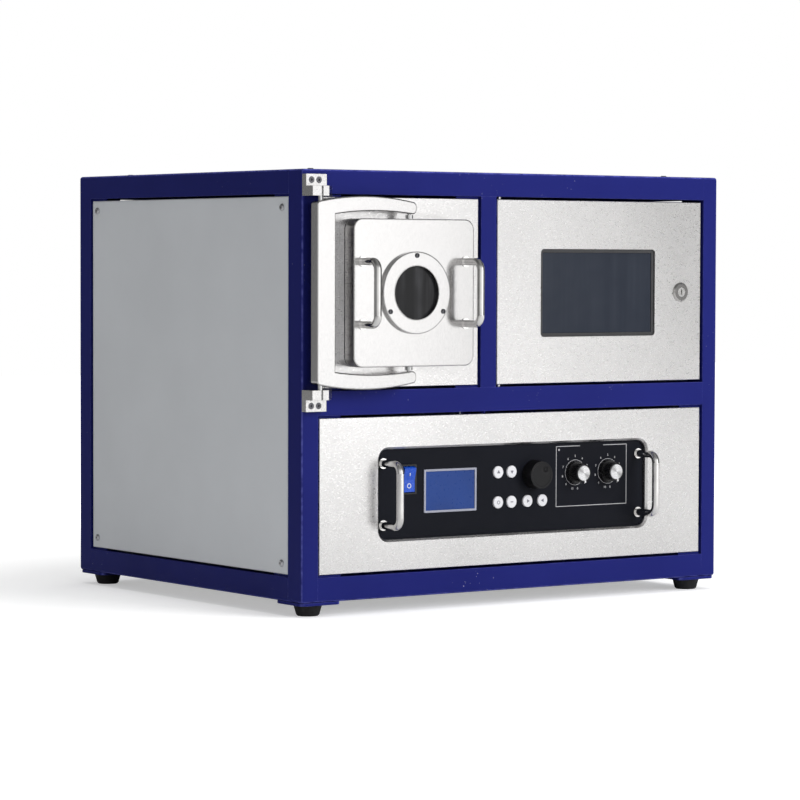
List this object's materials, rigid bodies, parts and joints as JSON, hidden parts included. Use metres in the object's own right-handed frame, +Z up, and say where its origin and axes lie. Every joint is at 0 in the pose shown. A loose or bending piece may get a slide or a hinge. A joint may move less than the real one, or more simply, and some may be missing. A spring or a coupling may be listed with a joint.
{
  "type": "plasma cleaner",
  "caption": "Bench-top plasma cleaner: blue framed cabinet, square chamber door with window on a swinging yoke, touch-screen door and recessed radio-frequency panel.",
  "frame": {"origin": "centre of the overall footprint, on the floor under the feet", "axes": "+X along the front to the right, +Y from front to back, +Z up"},
  "size_m": [0.5514, 0.53, 0.4572],
  "materials": {
    "blue_paint": "satin powder coat",
    "panel_grey": "matt powder coat",
    "stainless": "satin grain",
    "bright_steel": "polished",
    "screw_steel": "zinc plated",
    "aluminium": "machined",
    "black_paint": "fine satin",
    "zinc_sheet": "galvanised sheet",
    "rubber": "matt",
    "seal": "smooth",
    "ceramic": "glazed",
    "tube_plastic": "clear",
    "black_plastic": "moulded",
    "grey_plastic": "moulded",
    "blue_plastic": "moulded",
    "white_plastic": "moulded",
    "lcd_frame": "satin",
    "lcd_glass": "display glass",
    "screen_glass": "touch glass",
    "window_glass": "tempered glass",
    "brass": "nickel plated brass"
  },
  "bodies": {
    "cabinet": {"front_frame": "blue_paint", "rear_frame": "blue_paint", "corner_plates": "blue_paint", "feet": "rubber", "panel_tabs": "zinc_sheet", "button_screws": "screw_steel", "left_panel": "panel_grey", "right_panel": "panel_grey", "top_panel": "panel_grey", "bottom_panel": "panel_grey", "rear_panel": "panel_grey", "chamber_face": "stainless", "lower_panel": "stainless", "equipment_deck": "zinc_sheet", "chamber": "aluminium", "door_seal": "seal", "electrode": "aluminium", "electrode_posts": "ceramic", "vacuum_port": "stainless", "gas_inlets": "brass", "gas_lines": "tube_plastic", "mains_inlet": "black_plastic", "fan_frame": "black_plastic", "rf_fascia": "black_paint", "rf_case": "zinc_sheet", "rf_rails": "zinc_sheet", "rf_handles": "bright_steel", "rocker_bezel": "black_plastic", "lcd_frame": "lcd_frame", "lcd_screen": "lcd_glass", "hinge_blocks": "aluminium", "hinge_screws": "screw_steel", "hinge_pins": "bright_steel"},
    "yoke_arm": {"yoke": "aluminium", "pivot_pins": "bright_steel"},
    "chamber_door": {"door_plate": "stainless", "window_glass": "window_glass", "window_ring": "stainless", "ring_screws": "screw_steel", "door_handles": "bright_steel"},
    "control_panel": {"control_door": "stainless", "control_pins": "bright_steel", "hmi_case": "grey_plastic", "hmi_glass": "screen_glass", "lock_body": "bright_steel", "lock_nut": "screw_steel"},
    "lock": {"lock_rotor": "screw_steel"},
    "rocker_switch": {"rocker": "blue_plastic"},
    "power_knob": {"rf_knob": "black_plastic"},
    "tune_control": {"tune_knob": "black_plastic", "tune_cap": "aluminium"},
    "load_control": {"load_knob": "black_plastic", "load_cap": "aluminium"},
    "fan": {"fan_rotor": "black_plastic"},
    "push_button_1": {"button_1": "white_plastic"},
    "push_button_2": {"button_2": "white_plastic"},
    "push_button_3": {"button_3": "white_plastic"},
    "push_button_4": {"button_4": "white_plastic"},
    "push_button_5": {"button_5": "white_plastic"},
    "push_button_6": {"button_6": "white_plastic"}
  },
  "joints": [
    {"name": "yoke_swing", "type": "hinge", "parent": "cabinet", "child": "yoke_arm", "pos_m": [-0.263, -0.22425, 0.32975], "axis": [0, 0, -1], "range_deg": [0, 110]},
    {"name": "door_tilt", "type": "hinge", "parent": "yoke_arm", "child": "chamber_door", "pos_m": [-0.1535, -0.22425, 0.32975], "axis": [0, 0, 1], "range_deg": [-0.6, 0.6]},
    {"name": "control_door_swing", "type": "hinge", "parent": "cabinet", "child": "control_panel", "pos_m": [-0.0225, -0.2035, 0.33], "axis": [0, 0, -1], "range_deg": [0, 100]},
    {"name": "lock_turn", "type": "hinge", "parent": "control_panel", "child": "lock", "pos_m": [0.2234, -0.199, 0.329], "axis": [0, -1, 0], "range_deg": [0, 90]},
    {"name": "rocker_tip", "type": "hinge", "parent": "cabinet", "child": "rocker_switch", "pos_m": [-0.1378, -0.1995, 0.1361], "axis": [-1, 0, 0], "range_deg": [0, 14]},
    {"name": "power_knob_turn", "type": "hinge", "parent": "cabinet", "child": "power_knob", "pos_m": [0.0264, -0.209, 0.1357], "axis": [0, -1, 0], "continuous": true},
    {"name": "tune_turn", "type": "hinge", "parent": "cabinet", "child": "tune_control", "pos_m": [0.0825, -0.209, 0.1358], "axis": [0, -1, 0], "range_deg": [0, 337]},
    {"name": "load_turn", "type": "hinge", "parent": "cabinet", "child": "load_control", "pos_m": [0.1273, -0.209, 0.1358], "axis": [0, -1, 0], "range_deg": [0, 337]},
    {"name": "fan_spin", "type": "hinge", "parent": "cabinet", "child": "fan", "pos_m": [0.145, 0.226, 0.325], "axis": [0, 1, 0], "continuous": true},
    {"name": "press_button_1", "type": "slide", "parent": "cabinet", "child": "push_button_1", "axis": [0, 1, 0], "range_m": [0, 0.0012], "stiffness_N_per_m": 300, "springref_m": -0.001},
    {"name": "press_button_2", "type": "slide", "parent": "cabinet", "child": "push_button_2", "axis": [0, 1, 0], "range_m": [0, 0.0012], "stiffness_N_per_m": 300, "springref_m": -0.001},
    {"name": "press_button_3", "type": "slide", "parent": "cabinet", "child": "push_button_3", "axis": [0, 1, 0], "range_m": [0, 0.0012], "stiffness_N_per_m": 300, "springref_m": -0.001},
    {"name": "press_button_4", "type": "slide", "parent": "cabinet", "child": "push_button_4", "axis": [0, 1, 0], "range_m": [0, 0.0012], "stiffness_N_per_m": 300, "springref_m": -0.001},
    {"name": "press_button_5", "type": "slide", "parent": "cabinet", "child": "push_button_5", "axis": [0, 1, 0], "range_m": [0, 0.0012], "stiffness_N_per_m": 300, "springref_m": -0.001},
    {"name": "press_button_6", "type": "slide", "parent": "cabinet", "child": "push_button_6", "axis": [0, 1, 0], "range_m": [0, 0.0012], "stiffness_N_per_m": 300, "springref_m": -0.001}
  ]
}
